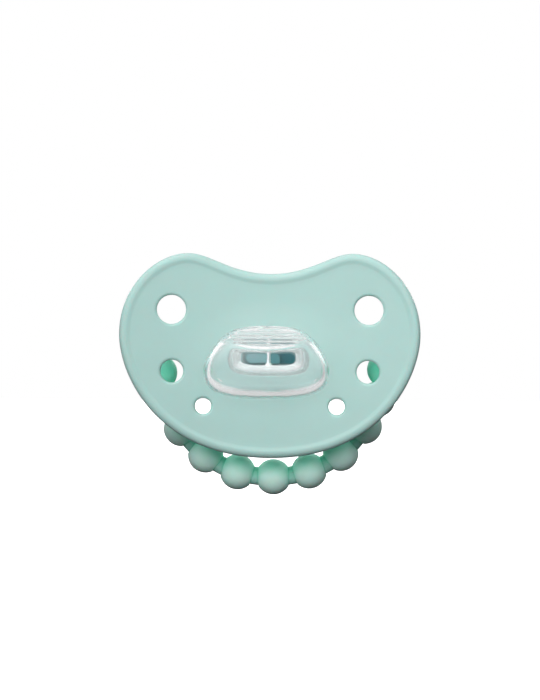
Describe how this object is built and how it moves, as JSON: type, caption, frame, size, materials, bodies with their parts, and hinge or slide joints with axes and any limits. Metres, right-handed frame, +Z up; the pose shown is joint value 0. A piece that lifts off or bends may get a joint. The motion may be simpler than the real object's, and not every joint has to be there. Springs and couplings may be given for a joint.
{
  "type": "baby pacifier",
  "caption": "Baby's pacifier with a hollow silicone orthodontic nipple, a heart-shaped vented shield, a round knob and a beaded drop handle hinged behind it.",
  "frame": {"origin": "where the nipple's axis crosses the middle of the shield plate", "axes": "+X to the viewer's right across the shield, +Y from the baby's mouth out through the knob, +Z up towards the baby's nose"},
  "size_m": [0.0552, 0.0408, 0.045],
  "materials": {
    "shield_plastic": "satin mint polypropylene",
    "nipple_silicone": "clear glossy silicone",
    "plug_plastic": "satin teal polypropylene",
    "knob_plastic": "satin mint polypropylene",
    "handle_plastic": "matte mint polypropylene",
    "bead_plastic": "soft matte mint plastic"
  },
  "bodies": {
    "soother": {"shield": "shield_plastic", "nipple": "nipple_silicone", "nipple_plug": "plug_plastic", "knob_base": "knob_plastic", "knob_cap": "knob_plastic"},
    "handle": {"handle_rod": "handle_plastic", "bead_01": "bead_plastic", "bead_02": "bead_plastic", "bead_03": "bead_plastic", "bead_04": "bead_plastic", "bead_05": "bead_plastic", "bead_06": "bead_plastic", "bead_07": "bead_plastic", "bead_08": "bead_plastic", "bead_09": "bead_plastic", "bead_10": "bead_plastic", "bead_11": "bead_plastic"}
  },
  "joints": [
    {"name": "handle_hinge", "type": "hinge", "parent": "soother", "child": "handle", "pos_m": [0, 0.0078, 0.0034], "axis": [1, 0, 0], "range_deg": [0, 178]}
  ]
}
